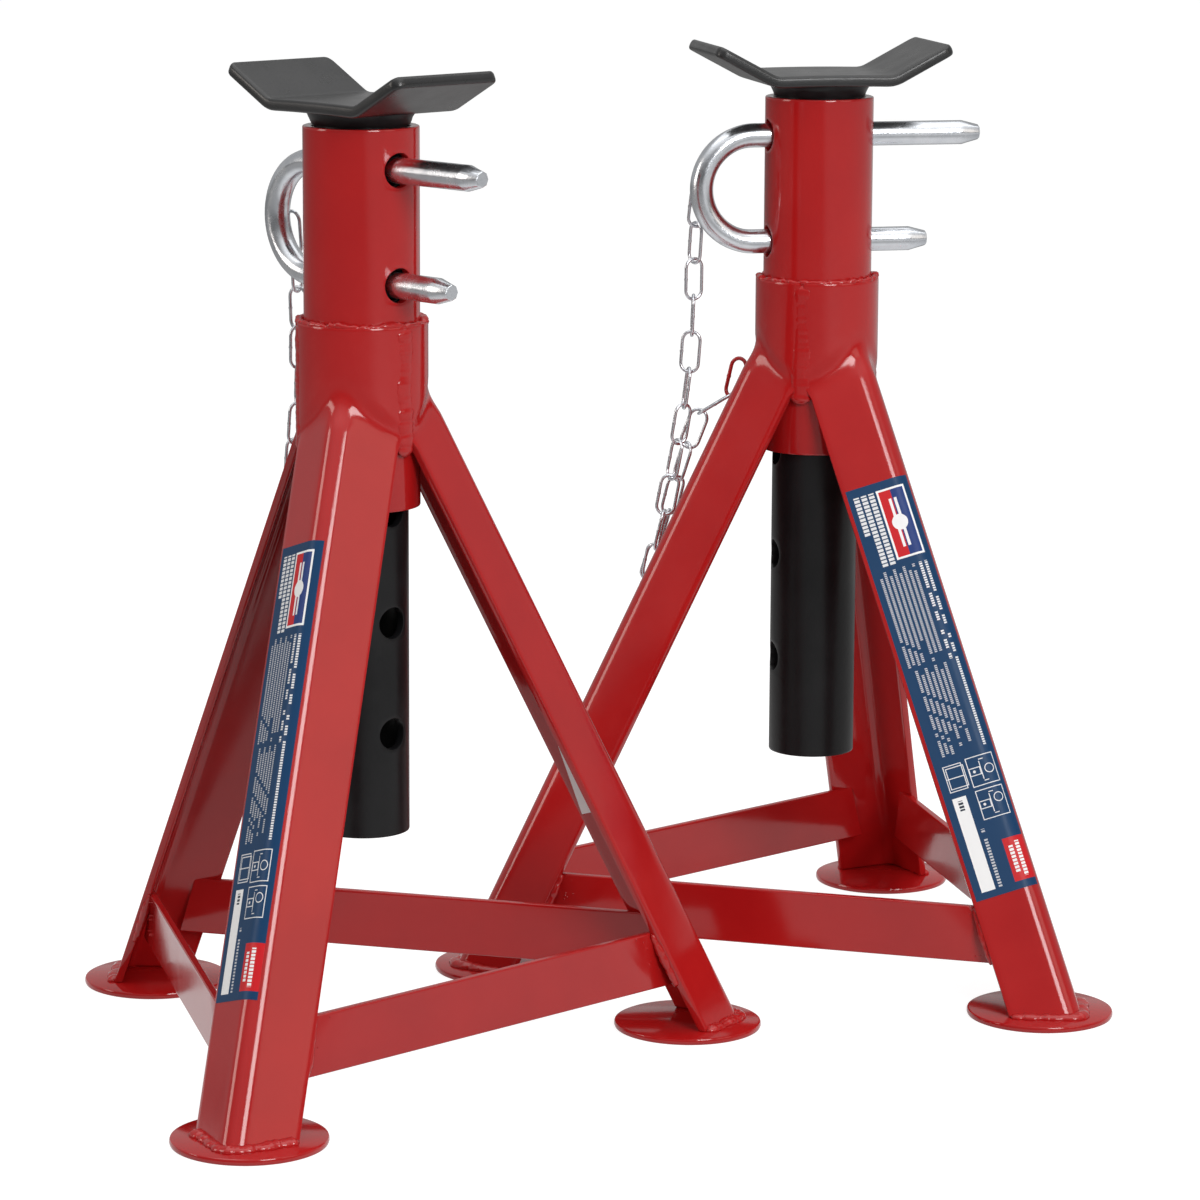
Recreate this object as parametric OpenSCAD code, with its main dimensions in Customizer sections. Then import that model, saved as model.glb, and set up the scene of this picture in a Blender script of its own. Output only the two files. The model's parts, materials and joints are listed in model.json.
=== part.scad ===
// Pair of pin-type axle stands, millimetres, +Z up, floor at Z = 0.
// A stand is drawn about its own post axis, with the locking pin along X (tips at +X).
// left() and right() put the two stands at their places in the pair.

/* [Pair] */
// Turn of the left stand about its post
yaw_left = -46; // [-180:1:180]
// Turn of the right stand about its post
yaw_right = 13; // [-180:1:180]
// Distance between the two posts, side to side
pair_dx = 172; // [160:1:260]
// Distance between the two posts, front to back
pair_dy = 140; // [120:1:220]

/* [Sleeve] */
// Outer diameter of the sleeve tube
sleeve_od = 42.4; // [42:0.1:46]
// Wall of the sleeve tube
sleeve_wall = 3.2; // [2.6:0.1:3.4]
// Height of the sleeve's open top above the floor
sleeve_top = 345; // [335:1:348]
// Height of the sleeve's lower end above the floor
sleeve_bottom = 206; // [190:1:215]

/* [Legs] */
// Thickness of the pressed leg plate
plate_t = 3; // [2.5:0.1:3.5]
// Width of one side of a leg's angle section
leg_flange = 26.6; // [22:0.1:30]
// Half of the angle between a leg's two sides
leg_half_angle = 47; // [44:1:50]
// Outer radius of the rounded leg corner
leg_corner_r = 7; // [5:0.5:9]
// Slope of a leg, sideways travel per height
leg_slope = 0.487; // [0.42:0.001:0.52]
// Distance from the post axis to the leg's corner line at the floor
leg_reach = 148.5; // [140:0.5:156]
// Height of the collar's top above the floor
collar_top = 274; // [268:1:280]
// Height of the collar's lower edge above the floor
collar_bottom = 232; // [228:1:238]

/* [Feet and braces] */
// Diameter of a foot disc
foot_d = 56; // [52:1:62]
// Thickness of a foot disc
foot_t = 2.5; // [2:0.1:4]
// Distance from the post axis to a foot disc's centre
foot_reach = 125; // [120:1:130]
// Height of the flat bar that makes a brace
brace_h = 22; // [18:1:26]
// Thickness of a brace
brace_t = 3; // [2.5:0.1:4]
// Height of a brace's lower edge above the floor
brace_z = 20; // [16:1:40]
// Distance from the post axis to a brace's outer face
brace_reach = 68.5; // [66:0.5:70]
// Length that a brace is cut to
brace_len = 198; // [194:1:202]

/* [Post] */
// Outer diameter of the sliding post
post_od = 33.7; // [32:0.1:34]
// Wall of the post
post_wall = 3; // [2.5:0.1:4]
// Height of the post's open lower end above the floor
post_bottom = 84; // [70:1:95]
// Height of the top cross hole above the floor
hole_top_z = 330; // [326:1:332]
// Distance from one cross hole to the next
hole_pitch = 41.5; // [40:0.5:42]
// Number of cross holes in the post
hole_count = 6; // [4:1:6]
// Diameter of the holes in the post
post_hole_d = 11.5; // [11:0.1:12.5]
// Diameter of the holes in the sleeve
sleeve_hole_d = 12.5; // [11.5:0.1:13]

/* [Saddle] */
// Height of the saddle's seat above the floor
seat_z = 354.5; // [353:0.5:356]
// Thickness of the saddle plate
saddle_t = 4.4; // [3.5:0.1:5]
// Half width of the saddle's flat middle
saddle_half = 23.5; // [22:0.1:26]
// Length of the saddle along the axle that it carries
saddle_len = 49; // [44:1:52]
// Width of one raised wing, along its slope
wing_len = 25.4; // [20:0.1:28]
// Angle that a wing is bent up
wing_angle = 28; // [20:1:35]
// Radius of the saddle plate's corners in plan
saddle_corner_r = 4; // [3:0.5:8]

/* [Locking pin] */
// Diameter of the pin's round bar
pin_d = 9.5; // [9:0.1:10]
// How far the upper tip reaches from the post axis
pin_tip_upper = 65; // [55:1:70]
// How far the lower tip reaches from the post axis, in the left and the right stand
pin_tip_lower_left = 49; // [40:0.5:54]
pin_tip_lower_right = 44; // [40:0.5:54]
// Length of the tapered end of a tip
pin_taper = 7; // [2:0.5:8]
// Distance from the post axis to where the bend starts
pin_bend_start = 26.5; // [25:0.5:30]

/* [Chain] */
// Diameter of the link wire
wire_d = 1.3; // [1:0.1:1.4]
// Length of a link over its ends
link_len = 17.4; // [17:0.1:18]
// Width of a link
link_w = 8.4; // [8:0.1:9]

/* [Hidden] */
$fn = 64;
cut = 0.5;          // how far a cutting tool runs past what it cuts
sleeve_r = sleeve_od / 2;
collar_r = sleeve_r + plate_t;
post_r = post_od / 2;
pin_r = pin_d / 2;
// The pin is divided beside the post: its middle lies in the post's holes and rides in them.
core_half = post_r + 0.25;
leg_tilt = atan(leg_slope);
leg_azimuth = [-60, 60, 180];
brace_azimuth = [0, 120, 240];
corner_steps = 8;   // flats that make up a leg's rounded corner
seam_half = 2;      // half of the angle that a collar seam fills
bead = 2.2;         // height of a fillet weld
label_t = 0.15;
label_from = 57.5;  // distance up the leg from the floor to the label's lower end
label_to = 224.5;
anchor_wire_d = 1.6;

foot_r = foot_d / 2;
function turned(p, a) = [p.x * cos(a) - p.y * sin(a), p.x * sin(a) + p.y * cos(a)];
// The feet are the widest things, so their outline centres the pair on the origin.
posts = [[0, 0], [pair_dx, pair_dy]];
yaws = [yaw_left, yaw_right];
feet = [for (s = [0, 1]) for (a = leg_azimuth) posts[s] + turned([foot_reach, 0], a + yaws[s])];
foot_x = [for (f = feet) f.x];
foot_y = [for (f = feet) f.y];
pair_centre = [min(foot_x) + max(foot_x), min(foot_y) + max(foot_y)] / 2;

// Chain, in the stand's own frame: the points where one link hooks into the next.
// pin_run hangs from the back of the pin's bend, anchor_run from the anchor link.
// They meet at chain_low, and every step is about 14.4 long.
chain_low = [-62.2, 19, 152.2];
pin_run = [[-46, 6.4, 308.9], [-47, 8.4, 294.6], [-47.5, 9.8, 280.2], [-47.5, 10.3, 265.8],
           [-48, 10.5, 251.3], [-49, 10.7, 236.8], [-50.8, 11, 222.4], [-53, 11.5, 208.1],
           [-55.5, 12.3, 193.9], [-58, 13.2, 179.7], [-61, 14.3, 165.6], chain_low];
anchor_run = [[-30.5, 14.7, 226.1], [-42.2, 18.5, 218.5], [-46.8, 20.1, 205.5], [-50.5, 22.8, 191.5],
              [-53.2, 25.3, 177.9], [-57, 27.2, 163.9], [-60.3, 31, 150.4], chain_low];
anchor_top = [-26.5, 15.5, 241];
anchor_low = [-30.6, 15, 224];
anchor_roll = 44;
// How far each link is rolled about its own length. Neighbours sit roughly crosswise.
pin_rolls = [90, 23, 106, 168, 65, 176, 112, 19, 81, 155, 51];
anchor_rolls = [158, 67, 16, 103, 155, 93, 40];

paint_red = "#a51c20";
paint_black = "#1e1e1e";
zinc = "#c4c6c8";
label_blue = "#0a365e";

// ---- placing ----

module at_stand(s) {
    translate([posts[s].x - pair_centre.x, posts[s].y - pair_centre.y, 0])
        rotate(yaws[s])
        children();
}

module left() { at_stand(0) children(); }

module right() { at_stand(1) children(); }

// A leg's own frame: X out of the rounded corner, Z up along the corner line.
module on_leg(k) {
    rotate(leg_azimuth[k])
        translate([leg_reach, 0, 0])
        rotate([0, -leg_tilt, 0])
        children();
}

// ---- shared shapes ----

module tube(outer_r, inner_r, bottom, top) {
    translate([0, 0, bottom])
        difference() {
            cylinder(h = top - bottom, r = outer_r);
            translate([0, 0, -cut]) cylinder(h = top - bottom + 2 * cut, r = inner_r);
        }
}

module cross_hole(z, d) {
    translate([-60, 0, z]) rotate([0, 90, 0]) cylinder(h = 120, d = d);
}

// Points along the leg section at one depth below its outer face, in the leg's own frame:
// the edge of one flat side, the small steps of the rounded corner, the edge of the other side.
function section_points(depth) = let (
        corner = [-leg_corner_r / sin(leg_half_angle), 0],
        edges = [for (side = [1, -1])
            leg_flange * [-cos(leg_half_angle), side * sin(leg_half_angle)]
            - depth * [sin(leg_half_angle), side * cos(leg_half_angle)]],
        arc = [for (i = [0 : corner_steps])
            let (a = (90 - leg_half_angle) * (1 - 2 * i / corner_steps))
            corner + (leg_corner_r - depth) * [cos(a), sin(a)]]
    )
    concat([edges[0]], arc, [edges[1]]);

// The section between two depths, from its point number first on.
module angle_skin(outer, inner, first = 0) {
    outside = section_points(outer);
    inside = section_points(inner);
    last = len(outside) - 1;
    polygon(concat([for (i = [first : last]) outside[i]], [for (i = [last : -1 : first]) inside[i]]));
}

module leg_bar() {
    translate([0, 0, -20]) linear_extrude(340) angle_skin(0, plate_t);
}

// Everything outside the inner face of one side of a leg, to trim what butts against it.
// side is 1 or -1.
module beyond_flange(side) {
    rotate(180 - side * leg_half_angle)
        translate([-20, side > 0 ? -30 : -plate_t, -20])
        cube([leg_flange + 60, plate_t + 30, 160]);
}

module level_slab(bottom, top) {
    translate([-300, -300, bottom]) cube([600, 600, top - bottom]);
}

// An oval chain link with its long axis on X, flat in XY.
module link(wire = wire_d) {
    turn_r = (link_w - wire) / 2;
    straight = link_len - link_w;
    for (end = [0, 1])
        rotate(180 * end)
            translate([straight / 2, 0, 0])
            rotate(-90)
            rotate_extrude(angle = 180, $fn = 24)
            translate([turn_r, 0])
            circle(d = wire, $fn = 16);
    for (side = [-1, 1])
        translate([-straight / 2, side * turn_r, 0])
            rotate([0, 90, 0])
            cylinder(h = straight, d = wire, $fn = 16);
}

// A link from p to q. Roll 0 puts its width along Y when it hangs straight down.
module link_between(p, q, roll, wire = wire_d) {
    d = q - p;
    down = [0, 0, -1];
    translate((p + q) / 2)
        rotate(a = acos(-d.z / norm(d)), v = cross(down, d))
        rotate([0, 0, roll])
        rotate([0, 90, 0])
        link(wire);
}

module chain(points, rolls) {
    color(zinc) for (i = [0 : len(rolls) - 1]) link_between(points[i], points[i + 1], rolls[i]);
}

// ---- welded frame ----

module sleeve() {
    color(paint_red)
        difference() {
            tube(sleeve_r, sleeve_r - sleeve_wall, sleeve_bottom, sleeve_top);
            for (i = [0, 1]) cross_hole(hole_top_z - i * hole_pitch, sleeve_hole_d);
        }
}

// A pressed leg: a third of the collar above, an angle section below. The section runs up
// into the thickness of the collar and no further.
module leg(k) {
    half = 60 - seam_half;
    color(paint_red) {
        difference() {
            intersection() {
                on_leg(k) leg_bar();
                level_slab(foot_t, collar_bottom + 18);
                rotate(leg_azimuth[k]) linear_extrude(400) sector(300, half - 1.5);
            }
            translate([0, 0, sleeve_bottom]) cylinder(h = 100, r = sleeve_r + plate_t / 2);
        }
        rotate(leg_azimuth[k] - half)
            rotate_extrude(angle = 2 * half)
            translate([sleeve_r, collar_bottom])
            square([plate_t, collar_top - collar_bottom]);
    }
}

module sector(reach, half) {
    polygon([[0, 0], reach * [cos(half), -sin(half)], [reach, 0], reach * [cos(half), sin(half)]]);
}

module brace_bar(k) {
    rotate(brace_azimuth[k])
        translate([brace_reach - brace_t, -brace_len / 2, brace_z])
        cube([brace_t, brace_len, brace_h]);
}

// Brace k joins leg k and the next leg, and its ends are trimmed to their inner faces.
module brace(k) {
    color(paint_red)
        difference() {
            brace_bar(k);
            on_leg(k) beyond_flange(1);
            on_leg((k + 1) % 3) beyond_flange(-1);
        }
}

module foot(k) {
    color(paint_red)
        rotate(leg_azimuth[k]) translate([foot_reach, 0, 0]) cylinder(h = foot_t, r = foot_r);
}

// The bead round the collar's top.
module collar_weld() {
    color(paint_red)
        rotate_extrude()
        translate([sleeve_r, collar_top])
        intersection() {
            circle(r = plate_t - 0.2);
            square(plate_t);
        }
}

// The three seams between the legs' rolled tops.
module collar_seams() {
    color(paint_red)
        for (a = brace_azimuth)
            rotate(a - seam_half)
                rotate_extrude(angle = 2 * seam_half)
                translate([sleeve_r, collar_bottom - 8])
                square([plate_t + 0.7, collar_top - collar_bottom + 8]);
}

// Beads where a brace's outer face meets the edges of two legs.
module brace_welds() {
    color(paint_red)
        for (k = [0 : 2]) {
            difference() {
                union() {
                    brace_weld_rod(k, 1);
                    brace_weld_rod((k + 1) % 3, -1);
                }
                brace_bar(k);
                on_leg(k) leg_bar();
                on_leg((k + 1) % 3) leg_bar();
            }
        }
}

module brace_weld_rod(k, side) {
    intersection() {
        on_leg(k)
            linear_extrude(80)
            mirror([0, side < 0 ? 1 : 0])
            rotate(180 - leg_half_angle)
            translate([leg_flange, plate_t])
            circle(r = bead);
        level_slab(brace_z, brace_z + brace_h);
    }
}

// Fillets where the legs stand on the foot discs.
module foot_welds() {
    color(paint_red)
        for (k = [0 : 2])
            intersection() {
                on_leg(k) translate([0, 0, -20]) linear_extrude(60) angle_skin(-bead, 0);
                level_slab(foot_t, foot_t + bead);
            }
}

// The chain's last link, welded upright to the third leg, with its weld.
module anchor_link() {
    color(paint_red) {
        link_between(anchor_top, anchor_low, anchor_roll, anchor_wire_d);
        difference() {
            translate([-25.6, 12.3, 232.5]) sphere(r = 2.4, $fn = 32);
            leg(2);
        }
    }
}

module label() {
    color(label_blue)
        on_leg(0)
        translate([0, 0, label_from])
        linear_extrude(label_to - label_from)
        angle_skin(-label_t, 0, first = 4);
}

// ---- lifting post ----

module post() {
    color(paint_black)
        difference() {
            tube(post_r, post_r - post_wall, post_bottom, seat_z - saddle_t);
            for (i = [0 : hole_count - 1]) cross_hole(hole_top_z - i * hole_pitch, post_hole_d);
        }
}

// The cone of weld between the post and the saddle, just clear of the sleeve's top.
module neck() {
    bottom = sleeve_top + 0.4;
    top = seat_z - saddle_t;
    color(paint_black)
        rotate_extrude()
        polygon([[post_r, bottom], [post_r + 1, bottom], [post_r + 3.1, top], [post_r, top]]);
}

module saddle() {
    rise = [cos(wing_angle), sin(wing_angle)];
    drop = saddle_t * [sin(wing_angle), -cos(wing_angle)];
    bend = [saddle_half, 0];
    tip = bend + wing_len * rise;
    under = [saddle_half + saddle_t * tan(wing_angle / 2), -saddle_t];
    right_side = [under, tip + drop, tip, bend];
    left_side = [for (i = [3 : -1 : 0]) [-right_side[i].x, right_side[i].y]];
    half_w = tip.x + drop.x;
    color(paint_black)
        translate([0, 0, seat_z])
        intersection() {
            translate([0, saddle_len / 2, 0])
                rotate([90, 0, 0])
                linear_extrude(saddle_len)
                polygon(concat(right_side, left_side));
            translate([0, 0, -2 * saddle_t])
                linear_extrude(10 * saddle_t)
                rounded_plate(2 * half_w, saddle_len, saddle_corner_r);
        }
}

module rounded_plate(w, l, r) {
    square([w - 2 * r, l], center = true);
    square([w, l - 2 * r], center = true);
    for (x = [-1, 1], y = [-1, 1]) translate([x * (w / 2 - r), y * (l / 2 - r)]) circle(r = r);
}

// ---- locking pin ----

module bar_x(from, to, z) {
    translate([from, 0, z]) rotate([0, 90, 0]) cylinder(h = to - from, r = pin_r);
}

module tip(end, z) {
    bar_x(core_half, end - pin_taper, z);
    translate([end - pin_taper, 0, z])
        rotate([0, 90, 0])
        cylinder(h = pin_taper, r1 = pin_r, r2 = 0.62 * pin_r);
}

// The bend behind the sleeve and the two tips in front of it. The bars are bent by hand, so
// their lower ends differ in length.
module pin(lower_tip) {
    lower = hole_top_z - hole_pitch;
    color(zinc) {
        translate([-pin_bend_start, 0, hole_top_z - hole_pitch / 2])
            rotate([90, 0, 0])
            rotate(90)
            rotate_extrude(angle = 180)
            translate([hole_pitch / 2, 0])
            circle(r = pin_r, $fn = 48);
        for (z = [lower, hole_top_z]) bar_x(-pin_bend_start, -core_half, z);
        tip(pin_tip_upper, hole_top_z);
        tip(lower_tip, lower);
    }
}

// The two lengths of the pin that cross the post.
module pin_core() {
    color(zinc) for (i = [0, 1]) bar_x(-core_half, core_half, hole_top_z - i * hole_pitch);
}

left() sleeve();  // left_sleeve
left() leg(0);  // left_leg_1
left() leg(1);  // left_leg_2
left() leg(2);  // left_leg_3
left() brace(0);  // left_brace_1
left() brace(1);  // left_brace_2
left() brace(2);  // left_brace_3
left() foot(0);  // left_foot_1
left() foot(1);  // left_foot_2
left() foot(2);  // left_foot_3
left() collar_weld();  // left_collar_weld
left() collar_seams();  // left_collar_seams
left() brace_welds();  // left_brace_welds
left() foot_welds();  // left_foot_welds
left() anchor_link();  // left_anchor_link
left() label();  // left_label
left() post();  // left_post
left() neck();  // left_neck
left() saddle();  // left_saddle
left() pin(pin_tip_lower_left);  // left_pin
left() pin_core();  // left_pin_core
left() chain(pin_run, pin_rolls);  // left_chain
left() chain(anchor_run, anchor_rolls);  // left_chain_tail
right() sleeve();  // right_sleeve
right() leg(0);  // right_leg_1
right() leg(1);  // right_leg_2
right() leg(2);  // right_leg_3
right() brace(0);  // right_brace_1
right() brace(1);  // right_brace_2
right() brace(2);  // right_brace_3
right() foot(0);  // right_foot_1
right() foot(1);  // right_foot_2
right() foot(2);  // right_foot_3
right() collar_weld();  // right_collar_weld
right() collar_seams();  // right_collar_seams
right() brace_welds();  // right_brace_welds
right() foot_welds();  // right_foot_welds
right() anchor_link();  // right_anchor_link
right() label();  // right_label
right() post();  // right_post
right() neck();  // right_neck
right() saddle();  // right_saddle
right() pin(pin_tip_lower_right);  // right_pin
right() pin_core();  // right_pin_core
right() chain(pin_run, pin_rolls);  // right_chain
right() chain(anchor_run, anchor_rolls);  // right_chain_tail
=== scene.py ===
"""The looks of a pair of pin-type axle stands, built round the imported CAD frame.

Shapes are worked out in millimetres in a stand's own frame: +Z up from the floor, the post on
the Z axis and the locking pin along X with its tips at +X. Stand.place() puts them in the row
frame, in metres.
"""

import json
import math
import random

import bmesh
import bpy
import numpy as np
from mathutils import Matrix, Vector, noise


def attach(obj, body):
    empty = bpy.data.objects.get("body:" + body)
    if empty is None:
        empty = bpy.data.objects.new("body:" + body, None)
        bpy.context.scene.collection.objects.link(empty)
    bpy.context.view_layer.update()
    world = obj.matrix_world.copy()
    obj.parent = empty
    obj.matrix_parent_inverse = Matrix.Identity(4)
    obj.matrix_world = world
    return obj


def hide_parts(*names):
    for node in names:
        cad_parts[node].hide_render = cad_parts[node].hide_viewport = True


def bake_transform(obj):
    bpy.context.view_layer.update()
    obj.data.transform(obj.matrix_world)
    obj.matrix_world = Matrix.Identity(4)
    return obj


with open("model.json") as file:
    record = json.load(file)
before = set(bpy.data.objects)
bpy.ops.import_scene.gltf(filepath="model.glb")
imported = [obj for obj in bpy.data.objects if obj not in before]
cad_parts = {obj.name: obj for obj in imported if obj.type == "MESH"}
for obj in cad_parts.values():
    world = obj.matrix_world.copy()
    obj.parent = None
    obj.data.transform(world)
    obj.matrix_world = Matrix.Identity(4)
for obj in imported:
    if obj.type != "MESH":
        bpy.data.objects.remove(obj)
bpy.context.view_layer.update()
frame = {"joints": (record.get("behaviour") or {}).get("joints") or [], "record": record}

MM = 0.001

# ---- camera ----

CAMERA_AT = (0.00220, -1.74969, 0.49144)
CAMERA_YAW, CAMERA_PITCH, CAMERA_ROLL = (math.radians(a) for a in (-0.008, 10.807, 0.279))
SENSOR_MM = 36.0
LENS_MM = 139.36


def add_camera():
    level = Vector((math.sin(CAMERA_YAW), math.cos(CAMERA_YAW), 0))
    forward = level * math.cos(CAMERA_PITCH) - Vector((0, 0, math.sin(CAMERA_PITCH)))
    right = Vector((math.cos(CAMERA_YAW), -math.sin(CAMERA_YAW), 0))
    up = right.cross(forward)
    x_axis = right * math.cos(CAMERA_ROLL) + up * math.sin(CAMERA_ROLL)
    y_axis = up * math.cos(CAMERA_ROLL) - right * math.sin(CAMERA_ROLL)
    turn = Matrix((x_axis, y_axis, -forward)).transposed()
    data = bpy.data.cameras.new("camera")
    data.lens = LENS_MM
    data.sensor_width = SENSOR_MM
    camera = bpy.data.objects.new("camera", data)
    camera.matrix_world = Matrix.Translation(CAMERA_AT) @ turn.to_4x4()
    bpy.context.scene.collection.objects.link(camera)
    bpy.context.scene.camera = camera


add_camera()

# ---- sizes in mm, as part.scad has them ----

SLEEVE_R, SLEEVE_WALL, SLEEVE_TOP, SLEEVE_BOTTOM = 21.2, 3.2, 345.0, 206.0
SEAT_Z, SADDLE_T, SADDLE_HALF, SADDLE_LEN, SADDLE_CORNER = 354.5, 4.4, 23.5, 49.0, 4.0
WING, WING_ANGLE = 25.4, math.radians(28)
POST_R, POST_WALL, POST_BOTTOM, POST_TOP = 16.85, 3.0, 84.0, SEAT_Z - SADDLE_T
HOLE_TOP_Z, HOLE_PITCH, POST_HOLES = 330.0, 41.5, 6
POST_HOLE_R, SLEEVE_HOLE_R = 5.75, 6.25
COLLAR_TOP, COLLAR_BOTTOM = 274.0, 232.0
PLATE = 3.0
FLANGE, CORNER_R, HALF_ANGLE = 26.6, 7.0, math.radians(47)
LEG_SLOPE, LEG_REACH = 0.487, 148.5
LEG_AZIMUTH = [math.radians(a) for a in (-60, 60, 180)]
BRACE_AZIMUTH = [math.radians(a) for a in (0, 120, 240)]
BRACE_Z, BRACE_H, BRACE_REACH, BRACE_HALF = 20.0, 22.0, 68.5, 99.0
FOOT_REACH, FOOT_R, FOOT_T = 125.0, 28.0, 2.5
PIN_R, PIN_UPPER, PIN_TAPER, BEND_START = 4.75, 65.0, 7.0, 26.5
PIN_LOWER = {"left": 49.0, "right": 44.0}
WIRE_R, LINK_LEN, LINK_W = 0.65, 17.4, 8.4
LABEL_FROM, LABEL_TO = 57.5, 224.5

# ---- sizes in mm that only the looks have ----

SADDLE_EDGE = 1.5
SEAM_RISE = {"left": 1.5, "right": 1.28}  # the right stand's seams are nearly flush
STICKER_FROM, STICKER_TO, STICKER_WIDTH, STICKER_ASKEW = 99.5, 140.0, 12.5, 6.0
FILM_GAP, LABEL_T, STICKER_T = 0.02, 0.13, 0.15  # the films' lower and upper faces, off the paint

LEG_TILT = math.atan(LEG_SLOPE)


class Stand:
    """One stand of the pair: its name and where its own frame lies in the row frame."""

    def __init__(self, side):
        record = frame["record"]
        seat = next(m for m in record["mounts"] if m["name"] == side + "_seat")
        pull = next(j for j in frame["joints"] if j["name"] == side + "_pin_pull")
        self.side = side
        self.at = np.array([seat["pos_m"][0], seat["pos_m"][1], 0.0])
        x_axis = -np.array(pull["axis"], float)
        self.turn = np.array([x_axis, [-x_axis[1], x_axis[0], 0.0], [0.0, 0.0, 1.0]])
        self.seed = {"left": 11, "right": 23}[side]

    def place(self, points):
        """Points of the stand's own frame in mm, as points of the row frame in metres."""
        return np.asarray(points, float) * MM @ self.turn + self.at


# ---- mesh building ----

WELD_DISTANCE = 2e-6  # metres
BEVEL_OVER = math.radians(50)


def finish_mesh(mesh, sharp_deg=38, bevel=0.0):
    """Joins doubles, turns the faces outward, bevels by bevel mm every edge sharper than
    BEVEL_OVER, and shades smooth except over edges sharper than sharp_deg."""
    bm = bmesh.new()
    bm.from_mesh(mesh)
    bmesh.ops.remove_doubles(bm, verts=bm.verts, dist=WELD_DISTANCE)
    bmesh.ops.recalc_face_normals(bm, faces=bm.faces)
    if bevel:
        edges = [e for e in bm.edges if len(e.link_faces) == 2 and e.calc_face_angle(0) > BEVEL_OVER]
        bmesh.ops.bevel(
            bm, geom=edges, offset=bevel * MM, offset_type="OFFSET", segments=2,
            profile=0.5, affect="EDGES", clamp_overlap=True,
        )
    for face in bm.faces:
        face.smooth = True
    limit = math.radians(sharp_deg)
    for e in bm.edges:
        e.smooth = len(e.link_faces) == 2 and e.calc_face_angle(0) < limit
    bm.to_mesh(mesh)
    bm.free()


def make_object(name, points, faces, material, **finish):
    mesh = bpy.data.meshes.new(name)
    mesh.from_pydata([tuple(p) for p in points], [], faces)
    finish_mesh(mesh, **finish)
    mesh.materials.append(material)
    obj = bpy.data.objects.new(name, mesh)
    bpy.context.scene.collection.objects.link(obj)
    return obj


def piece(stand, name, shape, material, slot, body, replaces, **finish):
    """Makes a visible piece from a shape in the stand's frame, and puts it on its body, if it
    rides on one."""
    points, faces = shape
    obj = make_object(f"{stand.side}_{name}", stand.place(points), faces, material, **finish)
    if body:
        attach(obj, f"{stand.side}_{body}")
    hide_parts(*[f"{stand.side}_{n}" for n in replaces])
    return obj


def joined(shapes):
    """Several shapes as one."""
    points, faces = [], []
    for p, f in shapes:
        faces += [[i + len(points) for i in face] for face in f]
        points += [tuple(q) for q in p]
    return points, faces


def loft(rings, closed=False):
    """A skin over rings of as many points each. closed joins the last ring to the first, and
    otherwise both ends have caps."""
    rings = np.asarray(rings, float)
    n, m = rings.shape[:2]
    faces = []
    for r in range(n if closed else n - 1):
        for c in range(m):
            r1, c1 = (r + 1) % n, (c + 1) % m
            faces.append([r * m + c, r * m + c1, r1 * m + c1, r1 * m + c])
    if not closed:
        faces += [list(range(m))[::-1], [(n - 1) * m + i for i in range(m)]]
    return rings.reshape(-1, 3), faces


def lathe(profile, steps, swell):
    """A closed profile of (radius, z) turned round the Z axis. swell(angle, i) is added to the
    radius of profile point i."""
    rings = []
    for k in range(steps):
        a = 2 * math.pi * k / steps
        ring = []
        for i, (r, z) in enumerate(profile):
            swollen = r + swell(a, i)
            ring.append((swollen * math.cos(a), swollen * math.sin(a), z))
        rings.append(ring)
    return loft(rings, closed=True)


def unit(v):
    return v / np.linalg.norm(v)


def sweep(path, radii, sides, closed=False, up=(0, 0, 1)):
    """A tube along path. radii has one (across, along up) pair, or one number, a point."""
    path = np.asarray(path, float)
    n = len(path)
    normal = np.asarray(up, float)
    rings = []
    for i in range(n):
        before = path[i - 1] if closed or i > 0 else path[0]
        after = path[(i + 1) % n] if closed or i < n - 1 else path[-1]
        along = unit(after - before)
        normal = unit(normal - along * (normal @ along))
        across = np.cross(along, normal)
        ra, rb = radii[i] if np.ndim(radii[i]) else (radii[i], radii[i])
        ring = []
        for k in range(sides):
            a = 2 * math.pi * k / sides
            ring.append(path[i] + across * ra * math.cos(a) + normal * rb * math.sin(a))
        rings.append(ring)
    return loft(rings, closed=closed)


def lump(centre, radius, seed):
    """A small round lump of spatter: a ball of a few rings, a little uneven."""
    levels, sides = 5, 8
    rng = random.Random(seed)
    uneven = [1 + 0.18 * (rng.random() - 0.5) for _ in range(sides)]
    rings = []
    for i in range(1, levels):
        polar = math.pi * i / levels
        ring = []
        for k in range(sides):
            a = 2 * math.pi * k / sides
            out = radius * uneven[k] * math.sin(polar)
            x, y = centre[0] + out * math.cos(a), centre[1] + out * math.sin(a)
            ring.append((x, y, centre[2] + radius * math.cos(polar)))
        rings.append(ring)
    return loft(rings)


def smooth01(t):
    """A soft step from 0 to 1 as t runs from 0 to 1."""
    t = min(max(t, 0.0), 1.0)
    return t * t * (3 - 2 * t)


def turn_z(points, angle):
    c, s = math.cos(angle), math.sin(angle)
    return np.asarray(points, float) @ np.array([[c, s, 0], [-s, c, 0], [0, 0, 1]])


def turned(shape, angle):
    points, faces = shape
    return turn_z(points, angle), faces


# ---- the leg section ----

TANGENT = CORNER_R / math.tan(HALF_ANGLE)
FLAT = FLANGE - TANGENT
SPREAD = math.pi / 2 - HALF_ANGLE
ARC = 2 * SPREAD * CORNER_R
SECTION_LENGTH = 2 * FLAT + ARC


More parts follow.
